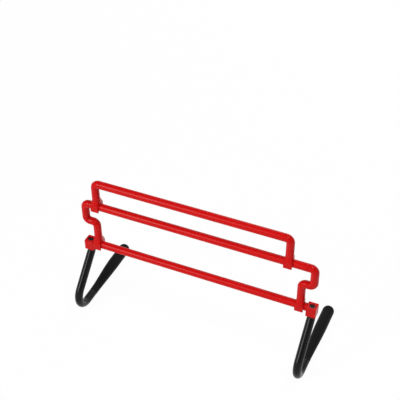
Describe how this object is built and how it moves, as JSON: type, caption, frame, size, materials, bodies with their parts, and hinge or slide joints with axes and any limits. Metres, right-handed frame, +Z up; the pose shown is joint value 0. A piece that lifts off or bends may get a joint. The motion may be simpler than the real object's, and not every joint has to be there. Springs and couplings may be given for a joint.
{
  "type": "speed hurdle",
  "caption": "Low free-standing training hurdle: round plastic bars in two folding clip-on frames on a base bar carried by bent, weighted swivelling legs",
  "frame": {"origin": "on the floor, at the middle of the hurdle's footprint", "axes": "+X along the bars, +Y to the back where the feet point, +Z up"},
  "size_m": [0.5038, 0.218, 0.308],
  "materials": {
    "red_tube": "extruded tube, smooth and glossy",
    "red_moulding": "injection moulded, smooth and glossy",
    "leg_sleeve": "soft tubing, glossy black",
    "foot_boot": "moulded rubber, matt black",
    "leg_rod": "bent steel rod, blackened"
  },
  "bodies": {
    "base": {"base_bar": "red_tube", "left_socket": "red_moulding", "right_socket": "red_moulding"},
    "mid_frame": {"mid_bar": "red_tube", "left_mid_arm": "red_moulding", "right_mid_arm": "red_moulding"},
    "top_frame": {"top_bar": "red_tube", "left_top_arm": "red_moulding", "right_top_arm": "red_moulding"},
    "left_leg": {"left_leg_rod": "leg_rod", "left_leg_sleeve": "leg_sleeve", "left_foot_boot": "foot_boot"},
    "right_leg": {"right_leg_rod": "leg_rod", "right_leg_sleeve": "leg_sleeve", "right_foot_boot": "foot_boot"}
  },
  "joints": [
    {"name": "mid_fold", "type": "hinge", "parent": "base", "child": "mid_frame", "pos_m": [0, -0.03215, 0.142], "axis": [-1, 0, 0], "range_deg": [-110, 140]},
    {"name": "top_fold", "type": "hinge", "parent": "mid_frame", "child": "top_frame", "pos_m": [0, -0.03215, 0.243], "axis": [-1, 0, 0], "range_deg": [-150, 150]},
    {"name": "left_leg_swivel", "type": "hinge", "parent": "base", "child": "left_leg", "pos_m": [-0.2395, -0.03215, 0.142], "axis": [0, 0, -1], "range_deg": [0, 90]},
    {"name": "right_leg_swivel", "type": "hinge", "parent": "base", "child": "right_leg", "pos_m": [0.2395, -0.03215, 0.142], "axis": [0, 0, 1], "range_deg": [0, 90]}
  ]
}
